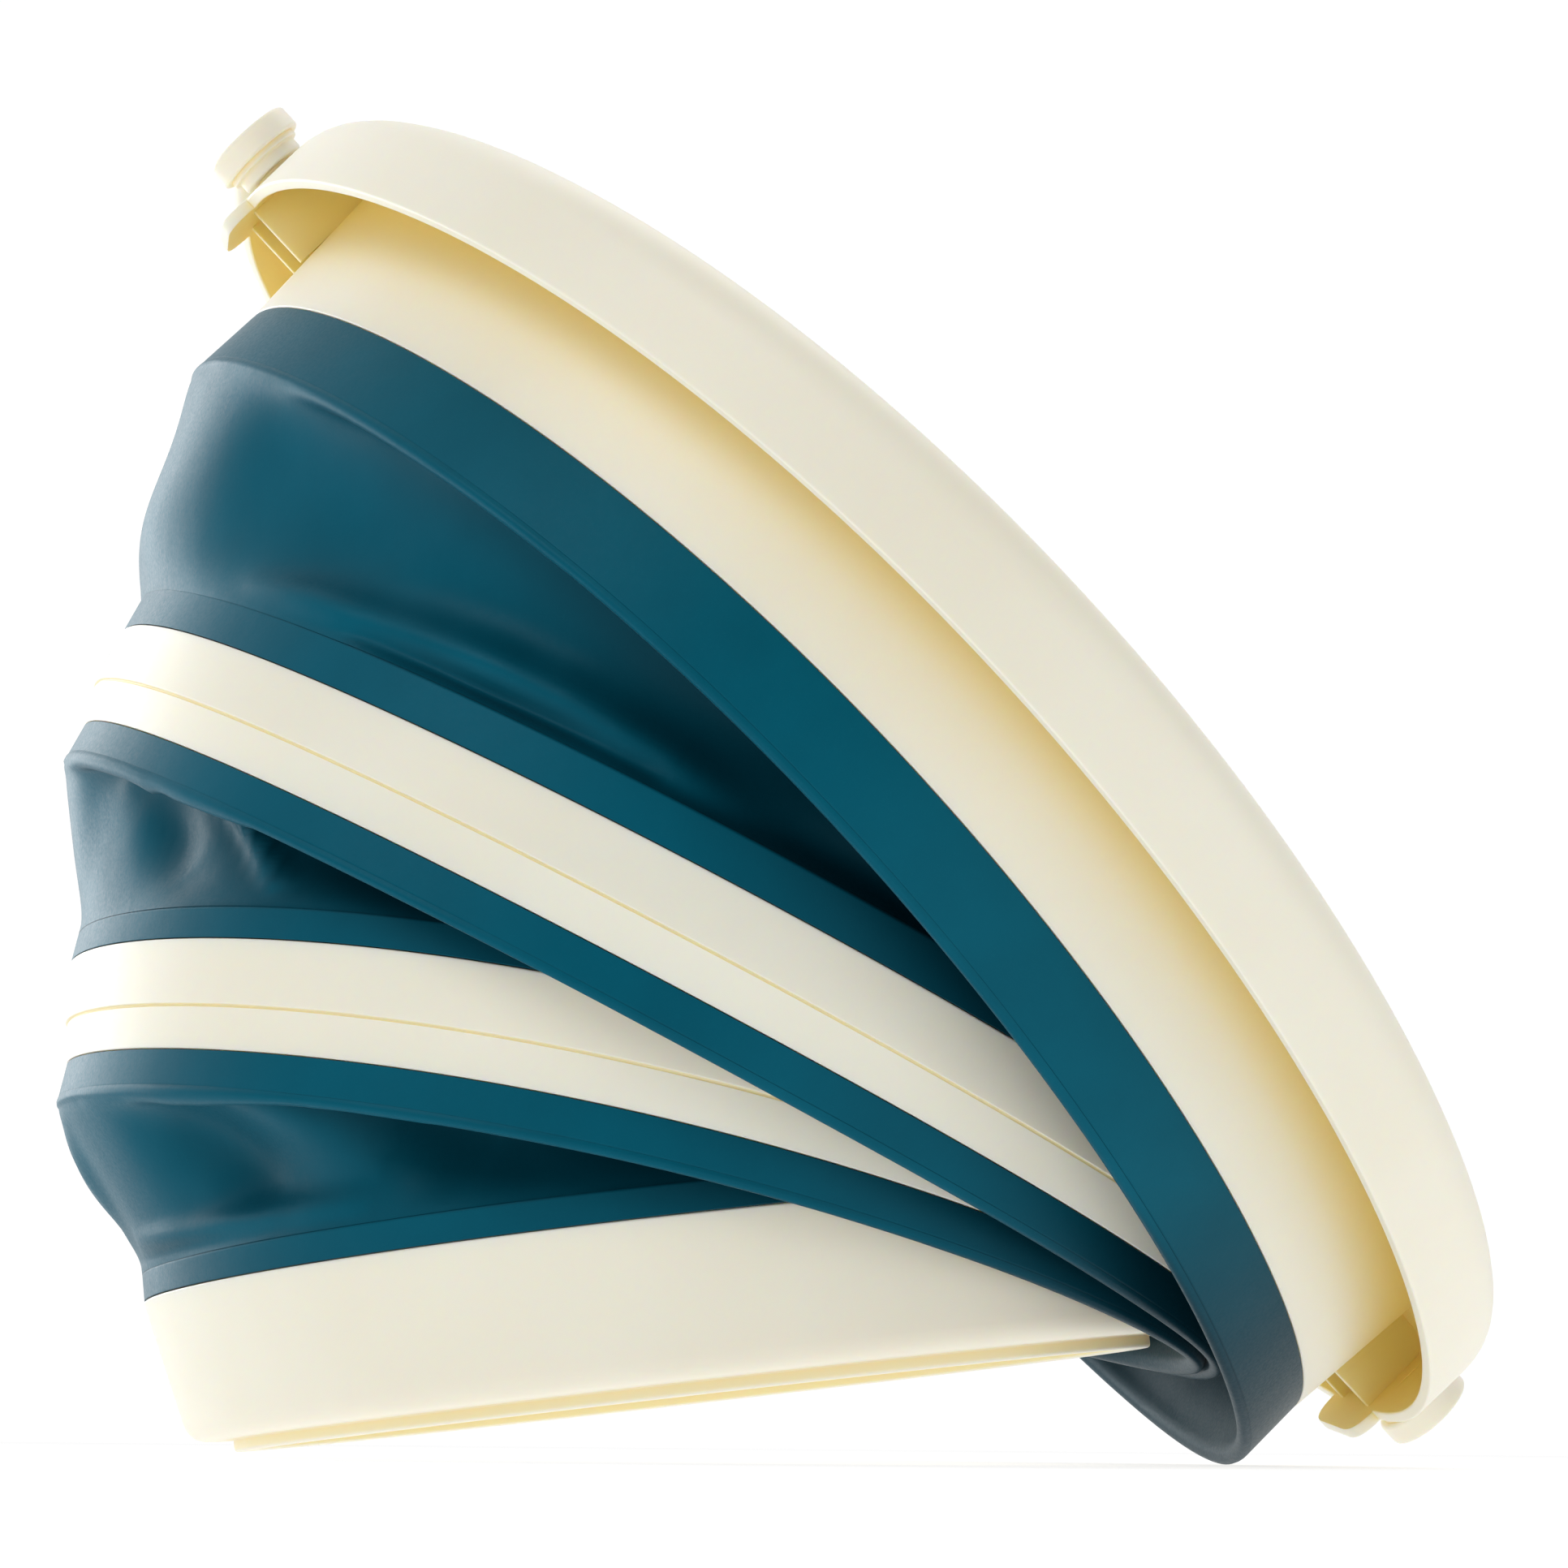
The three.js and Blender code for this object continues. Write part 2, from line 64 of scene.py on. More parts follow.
WALL = 2.2
COLLAR_THICKNESS = 1.5
COLLAR_PROUD = 0.25
WEB_THICKNESS = 0.8
GAP = 0.3

BASE = dict(x=0, z=0, lean=0, flex=0, flex_radius=100)
LOWER = dict(x=0.6, z=57.5, lean=19.3, flex=-3.7, flex_radius=112)
UPPER = dict(x=9.2, z=80.7, lean=34.1, flex=1.8, flex_radius=123)
RIM = dict(x=26.3, z=99.5, lean=52.1, flex=-4.8, flex_radius=140)

BASE_TOP_RADIUS, BASE_HEIGHT = 98.5, 28.5
LOWER_RING = dict(top=112.4, step=110.1, bottom=108.4, drop=10.7, height=18)
UPPER_RING = dict(top=123.6, step=123.0, bottom=121.2, drop=10.7, height=18.2)
RIM_BOTTOM_RADIUS, RIM_TOP_RADIUS, RIM_HEIGHT = 140.4, 143.2, 34.5
SKIRT_EDGE_RADIUS, SKIRT_EDGE_HEIGHT = 157, 15

LUG_TURN = math.radians(10)
PIVOT_HEIGHT = 19.6
BAIL_DROOP = math.radians(3)
BAIL_RADIUS, BAIL_WIDTH, BAIL_THICKNESS = 164.5, 9, 3.2
PAD_RADIUS, PAD_INNER, PAD_OUTER = 9, 162.2, 166.8
BOSS_RADIUS, BOSS_END = 6.6, 158.8
STUD_RADIUS, STUD_END = 4, 153.4

AROUND = 288

# ---- frames ---------------------------------------------------------------------------------------
def ring_point(ring, radius, height, angle):
    """Points of a leaning, slightly flexed ring, in the base frame. The arguments may be arrays."""
    lean = math.radians(ring["lean"])
    along, across = radius * np.cos(angle), radius * np.sin(angle)
    lift = height + ring["flex"] * (radius / ring["flex_radius"]) ** 2 * np.cos(2 * angle)
    x = ring["x"] + along * math.cos(lean) + lift * math.sin(lean)
    z = ring["z"] - along * math.sin(lean) + lift * math.cos(lean)
    return np.stack(np.broadcast_arrays(x, across, z), -1)


def to_row(points):
    """From the base frame in millimetres to the row frame in metres."""
    p = np.asarray(points, float)
    c, s = math.cos(REST_LEAN), math.sin(REST_LEAN)
    x = p[..., 0] * c - p[..., 2] * s
    z = p[..., 0] * s + p[..., 2] * c + FOOT_RADIUS * s
    return (np.stack([x, p[..., 1], z], -1) + ORIGIN_SHIFT) / 1000


def rotate_to_row(vector):
    c, s = math.cos(REST_LEAN), math.sin(REST_LEAN)
    return Vector((vector[0] * c - vector[2] * s, vector[1], vector[0] * s + vector[2] * c))


# ---- mesh helpers ---------------------------------------------------------------------------------
def smoothstep(value, low, high):
    t = np.clip((value - low) / (high - low), 0, 1)
    return t * t * (3 - 2 * t)


def fillet(corners, closed=True, steps=5):
    """Rounds a polygon's corners. Each corner is (radius, height, rounding)."""
    out = []
    count = len(corners)
    for i, (r, h, rounding) in enumerate(corners):
        here = np.array([r, h], float)
        if rounding <= 0 or (not closed and i in (0, count - 1)):
            out.append(here)
            continue
        before = np.array(corners[i - 1][:2], float) - here
        after = np.array(corners[(i + 1) % count][:2], float) - here
        a, b = np.linalg.norm(before), np.linalg.norm(after)
        before, after = before / a, after / b
        angle = math.acos(np.clip(before @ after, -1, 1))
        reach = min(rounding / max(math.tan(angle / 2), 1e-3), 0.49 * a, 0.49 * b)
        start, end = here + before * reach, here + after * reach
        for k in range(steps + 1):
            t = k / steps
            out.append((1 - t) ** 2 * start + 2 * t * (1 - t) * here + t * t * end)
    return np.array(out)


def new_object(name, vertices, faces):
    mesh = bpy.data.meshes.new(name)
    mesh.from_pydata([tuple(v) for v in vertices], [], faces)
    mesh.validate()
    obj = bpy.data.objects.new(name, mesh)
    bpy.context.scene.collection.objects.link(obj)
    mesh.shade_smooth()
    return obj


def grid_faces(rows, columns, close_rows, close_columns):
    faces = []
    for i in range(rows if close_rows else rows - 1):
        for j in range(columns if close_columns else columns - 1):
            i2, j2 = (i + 1) % rows, (j + 1) % columns
            faces.append((i * columns + j, i2 * columns + j, i2 * columns + j2, i * columns + j2))
    return faces


def crisp(obj, degrees=40):
    """Keeps edges sharp where faces meet steeply, and lets the large faces set the shading."""
    obj.data.set_sharp_from_angle(angle=math.radians(degrees))
    weighted = obj.modifiers.new("face weighted shading", "WEIGHTED_NORMAL")
    weighted.keep_sharp = True
    weighted.weight = 80
    return obj


def lathe(name, ring, loop, closed=True, around=AROUND):
    """Turns a [radius, height] outline about a ring's axis."""
    angles = np.linspace(0, 2 * math.pi, around, endpoint=False)
    points = ring_point(ring, loop[None, :, 0], loop[None, :, 1], angles[:, None])
    obj = new_object(name, to_row(points.reshape(-1, 3)), grid_faces(around, len(loop), True, closed))
    tidy_mesh(obj)
    return crisp(obj)


def tidy_mesh(obj):
    bm = bmesh.new()
    bm.from_mesh(obj.data)
    bmesh.ops.remove_doubles(bm, verts=bm.verts, dist=1e-6)
    bmesh.ops.recalc_face_normals(bm, faces=bm.faces)
    bm.to_mesh(obj.data)
    bm.free()
    obj.data.shade_smooth()


def join(first, *others):
    with bpy.context.temp_override(active_object=first, selected_editable_objects=[first, *others]):
        bpy.ops.object.join()
    return first


def apply_modifiers(obj):
    graph = bpy.context.evaluated_depsgraph_get()
    mesh = bpy.data.meshes.new_from_object(obj.evaluated_get(graph))
    obj.modifiers.clear()
    obj.data = mesh
    return obj


def cut(obj, *tools):
    for tool in tools:
        modifier = obj.modifiers.new("cut", "BOOLEAN")
        modifier.operation = "DIFFERENCE"
        modifier.solver = "EXACT"
        modifier.use_self = True
        modifier.object = tool
        bpy.context.view_layer.update()
        apply_modifiers(obj)
        bpy.data.objects.remove(tool)
    return obj


# ---- materials ------------------------------------------------------------------------------------
def principled(name):
    material = bpy.data.materials.new(name)
    material.use_nodes = True
    nodes = material.node_tree.nodes
    return material, nodes, material.node_tree.links, nodes["Principled BSDF"]


def noise(nodes, links, coordinates, scale, detail=3.0, roughness=0.55):
    node = nodes.new("ShaderNodeTexNoise")
    node.inputs["Scale"].default_value = scale
    node.inputs["Detail"].default_value = detail
    node.inputs["Roughness"].default_value = roughness
    links.new(coordinates, node.inputs["Vector"])
    return node.outputs["Fac"]


def spread(nodes, links, value, low, high, from_low=0.3, from_high=0.7):
    node = nodes.new("ShaderNodeMapRange")
    node.inputs["From Min"].default_value = from_low
    node.inputs["From Max"].default_value = from_high
    node.inputs["To Min"].default_value = low
    node.inputs["To Max"].default_value = high
    links.new(value, node.inputs["Value"])
    return node.outputs["Result"]


def mix_colour(nodes, links, factor, first, second):
    node = nodes.new("ShaderNodeMix")
    node.data_type = "RGBA"
    links.new(factor, node.inputs["Factor"])
    for socket, colour in (("A", first), ("B", second)):
        target = next(s for s in node.inputs if s.name == socket and s.type == "RGBA")
        if isinstance(colour, tuple):
            target.default_value = (*colour, 1)
        else:
            links.new(colour, target)
    return next(s for s in node.outputs if s.type == "RGBA")


def bump(nodes, links, height, strength, distance, normal=None):
    node = nodes.new("ShaderNodeBump")
    node.inputs["Strength"].default_value = strength
    node.inputs["Distance"].default_value = distance
    links.new(height, node.inputs["Height"])
    if normal is not None:
        links.new(normal, node.inputs["Normal"])
    return node.outputs["Normal"]


def cream_plastic():
    """Moulded polypropylene: warm, slightly translucent, with a faint mottle, a fine satin skin, and a
    painted yellow glow in its recesses.
    """
    material, nodes, links, shader = principled("cream_polypropylene")
    place = nodes.new("ShaderNodeTexCoord").outputs["Object"]
    mottle = noise(nodes, links, place, 22, 4)
    tone = spread(nodes, links, mottle, 0, 1)
    open_face = mix_colour(nodes, links, tone, CREAM_LIGHT, CREAM_DEEP)
    # Painted glow: recesses found by occlusion get a warm yellow colour that stands in for light coming
    # through the plastic.
    hidden = nodes.new("ShaderNodeAmbientOcclusion")
    hidden.samples = 12
    hidden.only_local = True
    hidden.inputs["Distance"].default_value = 0.022
    painted_glow_share = spread(nodes, links, hidden.outputs["AO"], 1, 0, 0.30, 0.90)
    links.new(mix_colour(nodes, links, painted_glow_share, open_face, CREAM_PAINTED_GLOW), shader.inputs["Base Color"])
    skin = noise(nodes, links, place, 1400, 2)
    links.new(spread(nodes, links, skin, 0.36, 0.47), shader.inputs["Roughness"])
    waves = noise(nodes, links, place, 60, 2)
    normal = bump(nodes, links, waves, 0.05, 0.0006)
    links.new(bump(nodes, links, skin, 0.06, 0.00008, normal), shader.inputs["Normal"])
    shader.inputs["Subsurface Weight"].default_value = 0.35
    shader.inputs["Subsurface Radius"].default_value = (1.0, 0.62, 0.22)
    shader.inputs["Subsurface Scale"].default_value = 0.004
    shader.inputs["Specular IOR Level"].default_value = 0.45
    shader.inputs["IOR"].default_value = 1.49
    return material


def teal_elastomer():
    """Soft matte elastomer: deep teal, with a dusty bloom, fine grain, faint flow streaks, and painted shade
    in its deep folds.
    """
    material, nodes, links, shader = principled("teal_elastomer")
    place = nodes.new("ShaderNodeTexCoord").outputs["Object"]
    cloud = spread(nodes, links, noise(nodes, links, place, 35, 5), 0, 1)
    base = mix_colour(nodes, links, cloud, TEAL_DEEP, TEAL_LIGHT)
    dust = spread(nodes, links, noise(nodes, links, place, 2600, 3, 0.7), 0, 0.22, 0.55, 0.8)
    dusty = mix_colour(nodes, links, dust, base, TEAL_DUST)
    # Painted shade: where occlusion finds a deep fold, the colour goes towards near black.
    folds = nodes.new("ShaderNodeAmbientOcclusion")
    folds.samples = 12
    folds.inputs["Distance"].default_value = 0.045
    depth = spread(nodes, links, folds.outputs["AO"], 1, 0, 0.28, 0.92)
    links.new(mix_colour(nodes, links, depth, dusty, TEAL_PAINTED_FOLD_SHADE), shader.inputs["Base Color"])
    grain = noise(nodes, links, place, 1700, 3)
    links.new(spread(nodes, links, grain, 0.36, 0.48), shader.inputs["Roughness"])
    soft = noise(nodes, links, place, 120, 3)
    normal = bump(nodes, links, soft, 0.12, 0.0008)
    links.new(bump(nodes, links, grain, 0.12, 0.00012, normal), shader.inputs["Normal"])
    shader.inputs["Specular IOR Level"].default_value = 0.12
    shader.inputs["Specular Tint"].default_value = (0.55, 0.85, 1.0, 1)
    shader.inputs["Sheen Weight"].default_value = 0.06
    shader.inputs["Sheen Roughness"].default_value = 0.22
    shader.inputs["Sheen Tint"].default_value = (0.85, 0.96, 1.0, 1)
    return material


CREAM_LIGHT = (0.92, 0.885, 0.765)
CREAM_DEEP = (0.90, 0.855, 0.72)
# Painted glow: the warm light that comes through the plastic where two walls stand close together, painted
# into the colour wherever occlusion finds a recess.
CREAM_PAINTED_GLOW = (0.92, 0.75, 0.27)
TEAL_DEEP = (0.0, 0.086, 0.135)
TEAL_LIGHT = (0.0, 0.104, 0.162)
TEAL_DUST = (0.004, 0.15, 0.21)
# Painted shade: deep folds, found by occlusion, are painted nearly black, since hardly any light comes out of
# them.
TEAL_PAINTED_FOLD_SHADE = (0.0, 0.026, 0.042)


def finish_piece(obj, material, slot, body, *replaced):
    obj.data.materials.clear()
    obj.data.materials.append(material)
    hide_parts(*replaced)
    if body:
        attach(obj, body)
    return obj


# ---- stiff plastic pieces ---------------------------------------------------------------------------
FOOT_WIDTH, FOOT_HEIGHT, BASE_FLOOR = 4.1, 2.6, 5.0
GROOVE_DEPTH = 0.22
TONGUE_HALF_WIDTH, TONGUE_FOOT, TONGUE_TOP, TONGUE_CORNER = 12.5, 3.6, 27, 6
TONGUE_INNER, TONGUE_OUTER = 154.5, 156.7
RIB_OFFSET, RIB_HALF_THICKNESS, RIB_FOOT, RIB_TOP = 7.5, 0.8, 10, 31
RIB_INNER, RIB_OUTER = 142, 155.5
HOLE_RADIUS, HOLE_INNER, HOLE_OUTER = 4.4, 151, 160


def base_pan():
    outline = fillet([
        (0, FOOT_HEIGHT, 0), (FOOT_RADIUS - FOOT_WIDTH, FOOT_HEIGHT, 0.3), (FOOT_RADIUS - FOOT_WIDTH, 0, 0.6),
        (FOOT_RADIUS, 0, 0.7), (FOOT_RADIUS, 2.3, 0.4), (92.5, 2.4, 9.5),
        (BASE_TOP_RADIUS, BASE_HEIGHT, 0.35), (BASE_TOP_RADIUS - WALL, BASE_HEIGHT, 0.35),
        (90.4, BASE_FLOOR, 8.0), (70, BASE_FLOOR, 0.6), (69.4, 5.5, 0.4), (66, 5.5, 0.4),
        (65.4, BASE_FLOOR, 0.6), (0, BASE_FLOOR, 0),
    ], closed=False)
    return lathe("base_pan_shell", BASE, outline, closed=False)


def middle_ring(name, ring, size):
    """A ring's straight wall, with the fine step that runs round its outside."""
    outline = fillet([
        (size["bottom"] - WALL, -size["height"], 0.3), (size["bottom"], -size["height"], 0.3),
        (size["step"] - 0.05, -size["drop"] - 0.5, 0.15),
        (size["step"] - GROOVE_DEPTH, -size["drop"] - 0.36, 0.1),
        (size["step"] - GROOVE_DEPTH, -size["drop"] - 0.1, 0.1), (size["step"] + 0.4, -size["drop"], 0.2),
        (size["top"], 0, 0.3), (size["top"] - WALL, 0, 0.3), (size["step"] - WALL, -size["drop"], 1.0),
    ], steps=3)
    return lathe(name, ring, outline)


def at_pivot(points):
    """From the bail's own frame, X along its pivot line and Z along the rim's axis, to the base frame."""
    p = np.asarray(points, float)
    c, s = math.cos(LUG_TURN), math.sin(LUG_TURN)
    x, y, z = p[..., 0] * c - p[..., 1] * s, p[..., 0] * s + p[..., 1] * c, p[..., 2]
    lean = math.radians(RIM["lean"])
    base_x = RIM["x"] + x * math.cos(lean) + z * math.sin(lean)
    base_z = RIM["z"] - x * math.sin(lean) + z * math.cos(lean)
    return np.stack([base_x, y, base_z], -1)


def disc_stack(name, profile, side, height, around=64):
    """Discs on the pivot line, turned about it. The profile is a list of (distance out, radius)."""
    angles = np.linspace(0, 2 * math.pi, around, endpoint=False)
    out, radius = profile[:, 0], profile[:, 1]
    x = np.broadcast_to(side * out[None], (around, len(out)))
    y = radius[None] * np.cos(angles)[:, None]
    z = height + radius[None] * np.sin(angles)[:, None]
    points = np.stack([x, y, z], -1).reshape(-1, 3)
    obj = new_object(name, to_row(at_pivot(points)), grid_faces(around, len(out), True, False))
    tidy_mesh(obj)
    return obj


def slab(name, outline, near, far):
    """A flat plate square to the pivot line: an outline in [across, height], between two distances out."""
    count = len(outline)
    rim_round = 0.35
    middle = outline.mean(0)
    rows = []
    inward = math.copysign(rim_round, far - near)
    for distance, shrink in ((near, rim_round), (near + inward, 0), (far - inward, 0), (far, rim_round)):
        away = outline - middle
        scaled = middle + away * (1 - shrink / np.linalg.norm(away, axis=1).max())
        rows.append(np.column_stack([np.full(count, distance), scaled]))
    faces = grid_faces(len(rows), count, False, True)
    faces += [tuple(range(count)), tuple(range(len(rows) * count - 1, (len(rows) - 1) * count - 1, -1))]
    obj = new_object(name, to_row(at_pivot(np.concatenate(rows))), faces)
    tidy_mesh(obj)
    return obj


def rim():
    underside = RIM_HEIGHT - WALL
    outline = fillet([
        (RIM_BOTTOM_RADIUS - WALL, 0, 0.4), (RIM_BOTTOM_RADIUS, 0, 0.4), (143.1, underside, 1.6),
        (155.3, underside, 5.2), (SKIRT_EDGE_RADIUS - WALL, SKIRT_EDGE_HEIGHT, 0.45),
        (SKIRT_EDGE_RADIUS, SKIRT_EDGE_HEIGHT, 0.45), (157.7, RIM_HEIGHT, 8.2), (140.9, RIM_HEIGHT, 3.4),
    ], steps=8)
    hoop = lathe("rim_shell", RIM, outline)
    hoop.modifiers.clear()
    extras, holes = [], []
    half, corner = TONGUE_HALF_WIDTH, TONGUE_CORNER
    tongue = fillet([
        (-half, TONGUE_TOP, 0), (-half, TONGUE_FOOT, corner),
        (half, TONGUE_FOOT, corner), (half, TONGUE_TOP, 0),
    ], steps=8)
    hole = np.array([[HOLE_INNER, 0], [HOLE_INNER, HOLE_RADIUS], [HOLE_OUTER, HOLE_RADIUS], [HOLE_OUTER, 0]])
    for side in (-1, 1):
        extras.append(slab("tongue", tongue, side * TONGUE_INNER, side * TONGUE_OUTER))
        for offset in (-RIB_OFFSET, RIB_OFFSET):
            left, right = offset - RIB_HALF_THICKNESS, offset + RIB_HALF_THICKNESS
            rib = fillet([
                (left, RIB_FOOT, 0.3), (right, RIB_FOOT, 0.3), (right, RIB_TOP, 0), (left, RIB_TOP, 0),
            ], steps=3)
            extras.append(slab("rib", rib, side * RIB_INNER, side * RIB_OUTER))
        holes.append(disc_stack("hole", hole, side, PIVOT_HEIGHT))
    join(hoop, *extras)
    cut(hoop, *holes)
    return crisp(hoop)


def bail():
    """A flat strap bent into a half hoop, with a round pad, a boss and a pin at each end."""
    thick, wide = BAIL_THICKNESS / 2, BAIL_WIDTH / 2
    corners = [(-thick, -wide), (thick, -wide), (thick, wide), (-thick, wide)]
    section = fillet([(*corner, 1.2) for corner in corners])
    bend = np.linspace(0, math.pi, 161)
    out = BAIL_RADIUS + section[None, :, 0]
    x, y = out * np.cos(bend)[:, None], out * np.sin(bend)[:, None]
    z = np.broadcast_to(section[None, :, 1], x.shape)
    droop = (x, y * math.cos(BAIL_DROOP) + z * math.sin(BAIL_DROOP),
             PIVOT_HEIGHT - y * math.sin(BAIL_DROOP) + z * math.cos(BAIL_DROOP))
    points = np.stack(droop, -1).reshape(-1, 3)
    faces = grid_faces(len(bend), len(section), False, True)
    last = (len(bend) - 1) * len(section)
    faces += [tuple(range(len(section)))[::-1], tuple(range(last, last + len(section)))]
    strap = new_object("bail_strap", to_row(at_pivot(points)), faces)
    tidy_mesh(strap)
    profile = fillet([
        (STUD_END, 0, 0), (STUD_END, STUD_RADIUS, 0.6),
        (BOSS_END, STUD_RADIUS, 0), (BOSS_END, BOSS_RADIUS, 0.6),
        (161.0, BOSS_RADIUS, 0.3), (161.2, 7.6, 0.3), (PAD_INNER, 7.6, 0), (PAD_INNER, PAD_RADIUS, 0.9),
        (PAD_OUTER, PAD_RADIUS, 0.9), (PAD_OUTER, 5.4, 0.3),
        (PAD_OUTER - 0.5, 5.0, 0.3), (PAD_OUTER - 0.5, 0, 0),
    ], closed=False)
    ends = [disc_stack("bail_end", profile, side, PIVOT_HEIGHT) for side in (-1, 1)]
    return crisp(join(strap, *ends))


# ---- gaiters ----------------------------------------------------------------------------------------
LOWER_GAITER = dict(open=32, folded=45, bottom=5.2, top=6.6)
MIDDLE_GAITER = dict(open=32, folded=39, bottom=5.6, top=6.4)
UPPER_GAITER = dict(open=40, folded=52, bottom=7.6, top=13.6)
SHEET_ANGLES, SHEET_STEPS = 240, 44
STRAND_DISTANCE = WALL / 2 + WEB_THICKNESS / 2 + GAP + 0.4
TIP_INSET, PAST_EDGE = 2.1, 7
# The sheet leaves a collar level with the collar's outer face.
FLUSH = COLLAR_THICKNESS / 2 + COLLAR_PROUD - WEB_THICKNESS / 2


def collar(name, ring, radius, low, high, sheet_above):
    inner, outer = radius - COLLAR_THICKNESS / 2, radius + COLLAR_THICKNESS / 2 + COLLAR_PROUD
    tip, root = (0.75, 0.15) if sheet_above else (0.15, 0.75)
    outline = fillet([(inner, low, root), (outer, low, root), (outer, high, tip), (inner, high, tip)])
    return lathe(name, ring, outline)


def ring_axis(ring):
    lean = math.radians(ring["lean"])
    return np.array([math.sin(lean), 0, math.cos(lean)])


def in_ring(ring, points):
    lean = math.radians(ring["lean"])
    dx, dz = points[..., 0] - ring["x"], points[..., 2] - ring["z"]
    along = dx * math.cos(lean) - dz * math.sin(lean)
    lift = dx * math.sin(lean) + dz * math.cos(lean)
    angle = np.arctan2(points[..., 1], along)
    radius = np.hypot(along, points[..., 1])
    return radius, lift - ring["flex"] * (radius / ring["flex_radius"]) ** 2 * np.cos(2 * angle), angle


def clear_of_wall(wall, points, side):
    """Where each point should go to stay clear of a ring's wall, and whether it has to move."""
    radius, height, angle = in_ring(wall["ring"], points)
    far = np.array([wall["far_radius"] - WALL / 2, wall["far_height"]])
    tip = np.array([wall["sheet_radius"], wall["tip_height"]])
    here = np.stack([radius, height], -1)
    along = tip - far
    share = np.clip(((here - far) @ along) / (along @ along), 0, 1)
    nearest = far + share[..., None] * along
    away = here - nearest
    length = np.linalg.norm(away, axis=-1)
    beside = share < 1
    wrong = beside & (share > 0) & (side * away[..., 0] < 0)
    moves = (length <= STRAND_DISTANCE) | wrong
    out = np.where(beside[..., None], np.array([side, 0.0]), away / np.maximum(length, 1e-6)[..., None])
    target = nearest + out * STRAND_DISTANCE
    return ring_point(wall["ring"], target[..., 0], target[..., 1], angle), moves


def push_clear(points, inside, outside):
    a, moves_a = clear_of_wall(inside, points, 1)
    b, moves_b = clear_of_wall(outside, points, -1)
    both = (moves_a & moves_b)[..., None]
    moved = np.where(moves_a[..., None], a, np.where(moves_b[..., None], b, points))
    return np.where(both, (a + b) / 2, moved)


def bezier(start, end, start_direction, end_direction, start_handle, end_handle, steps=72):
    t = np.linspace(0, 1, steps + 1)[None, :, None]
    first = (start + start_direction * start_handle[:, None])[:, None]
    last = (end - end_direction * end_handle[:, None])[:, None]
    start, end = start[:, None], end[:, None]
    return (1 - t) ** 3 * start + 3 * t * (1 - t) ** 2 * first + 3 * t * t * (1 - t) * last + t ** 3 * end


def row_lengths(rows):
    return np.linalg.norm(np.diff(rows, axis=1), axis=-1).sum(1)


def resample(rows, steps):
    """Points by length along each row, closer together towards its ends."""
    pieces = np.linalg.norm(np.diff(rows, axis=1), axis=-1)
    reach = np.concatenate([np.zeros((len(rows), 1)), np.cumsum(pieces, 1)], 1)
    even = np.linspace(0, 1, steps + 1)
    gathered = (1 - np.cos(np.linspace(0, math.pi, steps + 1))) / 2
    share = gathered * 0.6 + even * 0.4
    return np.array([
        np.stack([np.interp(share * r[-1], r, row[:, k]) for k in range(3)], -1)
        for r, row in zip(reach, rows)
    ])


def relax(rows, passes):
    for _ in range(passes):
        inner = rows[:, 1:-1]
        eased = 0.5 * inner + 0.25 * (rows[:, :-2] + rows[:, 2:])
        rows = np.concatenate([rows[:, :1], eased, rows[:, -1:]], 1)
        around = 0.5 * rows + 0.25 * (np.roll(rows, 1, 0) + np.roll(rows, -1, 0))
        rows[:, 1:-1] = around[:, 1:-1]
    return rows


def sheet_rows(inside, outside, size):
    """A gaiter's thin sheet: for each angle one row of points, from its lower collar to its upper one.

    A row keeps its length: where the rings are close it has slack, and turns in a tight fold.
    """
    angles = np.linspace(0, 2 * math.pi, SHEET_ANGLES, endpoint=False)
    start = ring_point(inside["ring"], inside["sheet_radius"] + FLUSH, inside["sheet_height"], angles)
    end = ring_point(outside["ring"], outside["sheet_radius"] + FLUSH, outside["sheet_height"], angles)
    length = size["open"] + (size["folded"] - size["open"]) * (1 + np.cos(angles)) / 2
    chord = np.linalg.norm(start - end, axis=1)
    start_axis, end_axis = ring_axis(inside["ring"]), ring_axis(outside["ring"])
    nested = smoothstep((start - end) @ start_axis, 0, 16)
    outward = start * [1, 1, 0]
    outward = outward / np.linalg.norm(outward, axis=1)[:, None] * (0.8 * nested)[:, None]
    start_direction, end_direction = start_axis + outward, end_axis + outward
    target = np.maximum(length, chord * 1.01)
    slack = smoothstep(target / chord, 1.1, 1.8)
    end_handle = chord * 0.12 * (1 - slack) + 5 * slack
    short, long = np.maximum(chord * 0.12, nested * 9), length * 3
    for _ in range(30):
        handle = (short + long) / 2
        rows = bezier(start, end, start_direction, end_direction, handle, end_handle)
        over = row_lengths(rows) > target
        long, short = np.where(over, handle, long), np.where(over, short, handle)
    rows = bezier(start, end, start_direction, end_direction, short, end_handle)
    ends = rows[:, :1].copy(), rows[:, -1:].copy()
    for passes in (6, 2):
        middle = push_clear(rows[:, 1:-1], inside, outside)
        rows = relax(np.concatenate([ends[0], middle, ends[1]], 1), passes)
    return resample(rows, SHEET_STEPS), angles


def stands_on(ring, height, radius, collar_height, far_height, far_radius):
    sheet = height + collar_height + GAP - 0.5
    return dict(ring=ring, sheet_height=sheet, tip_height=sheet + 0.5 + 2 * GAP - TIP_INSET,
                sheet_radius=radius - WALL / 2, far_height=far_height, far_radius=far_radius)


def hangs_from(ring, height, radius, collar_height, far_height, far_radius):
    sheet = height - collar_height - GAP + 0.5
    return dict(ring=ring, sheet_height=sheet, tip_height=sheet - 0.5 - 2 * GAP + TIP_INSET,
                sheet_radius=radius - WALL / 2, far_height=far_height, far_radius=far_radius)


def sheet_normals(rows):
    along = np.gradient(rows, axis=1)
    around = np.roll(rows, -1, 0) - np.roll(rows, 1, 0)
    normal = np.cross(around, along)
    return normal / np.linalg.norm(normal, axis=-1)[..., None]


